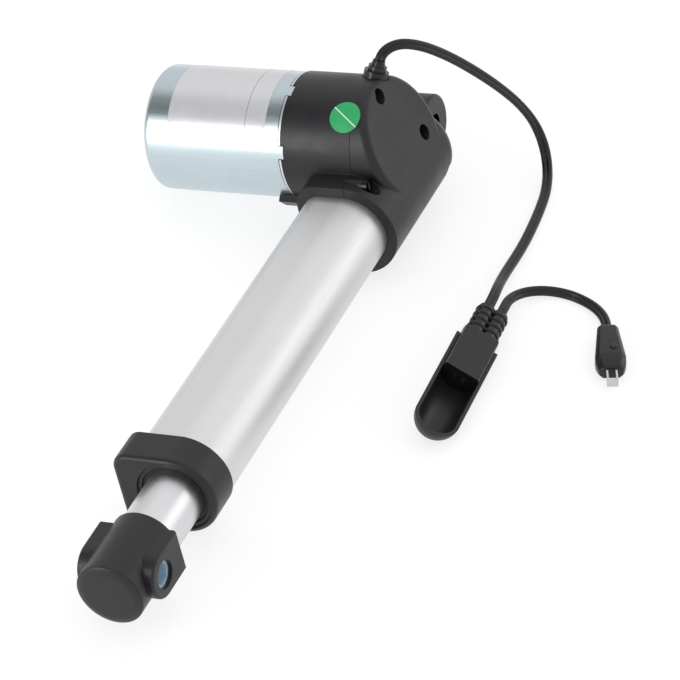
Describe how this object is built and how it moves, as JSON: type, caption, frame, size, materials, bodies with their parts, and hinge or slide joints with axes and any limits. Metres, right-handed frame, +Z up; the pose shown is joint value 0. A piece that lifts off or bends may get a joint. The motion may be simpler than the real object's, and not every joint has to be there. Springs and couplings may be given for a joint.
{
  "type": "electric linear actuator",
  "caption": "Electric linear actuator: motor on the side of a worm gearbox, lead screw in a flat-sided tube, sliding rod with a pivot eye, and a lead with socket and plug.",
  "frame": {"origin": "centre of the rear pivot's bore", "axes": "+X along the spindle towards the front eye, +Z up from the table that the actuator lies on, +Y away from the motor"},
  "size_m": [0.3885, 0.2725, 0.0947],
  "materials": {
    "housing": "satin glass-filled moulding",
    "soft_black": "soft moulded sheath",
    "zinc_steel": "bright zinc plate",
    "bright_steel": "ground",
    "tube": "satin anodised",
    "bronze": "sintered",
    "copper": "enamelled wire",
    "contact": "tinned",
    "ferrite": "sintered",
    "board": "laminate",
    "white_plastic": "plain acetal"
  },
  "bodies": {
    "actuator": {"gearbox_motor_half": "housing", "gearbox_cover_half": "housing", "housing_screws": "zinc_steel", "rear_pivot_sleeve": "zinc_steel", "cord_gland": "soft_black", "motor_can": "zinc_steel", "motor_front_plate": "zinc_steel", "shaft_bushes": "bronze", "motor_magnets": "ferrite", "brushes": "ferrite", "brush_card": "board", "bearing_outer_race": "bright_steel", "outer_tube": "tube", "front_cap": "housing", "wiper_ring": "soft_black", "rod_guide": "white_plastic", "limit_switch_board": "board", "limit_switches": "housing", "main_cord": "soft_black", "branch_cord": "soft_black", "y_socket": "soft_black", "socket_shell": "housing", "plug_body": "soft_black", "plug_contacts": "contact"},
    "armature": {"motor_shaft": "bright_steel", "worm": "bright_steel", "armature_core": "bright_steel", "armature_windings": "copper", "commutator": "copper"},
    "spindle": {"lead_screw": "bright_steel", "worm_wheel": "white_plastic", "spindle_stop": "bright_steel", "bearing_inner_race": "bright_steel", "bearing_balls": "bright_steel"},
    "rod": {"drive_nut": "white_plastic", "inner_tube": "tube", "front_eye": "housing", "eye_sleeve": "zinc_steel"}
  },
  "joints": [
    {"name": "armature_spin", "type": "hinge", "parent": "actuator", "child": "armature", "pos_m": [0.0505, -0.00432, 0.02361], "axis": [0, -0.9837, -0.1799], "range_deg": [0, 216000]},
    {"name": "spindle_spin", "type": "hinge", "parent": "actuator", "child": "spindle", "pos_m": [0.0505, 0, 0], "axis": [1, 0, 0], "range_deg": [0, 7200]},
    {"name": "rod_slide", "type": "slide", "parent": "actuator", "child": "rod", "axis": [1, 0, 0], "range_m": [0, 0.12]}
  ],
  "couplings": [
    {"joint": "spindle_spin", "follows": "armature_spin", "ratio": 0.033333},
    {"joint": "rod_slide", "follows": "armature_spin", "m_per_rad": 0.000031831}
  ]
}
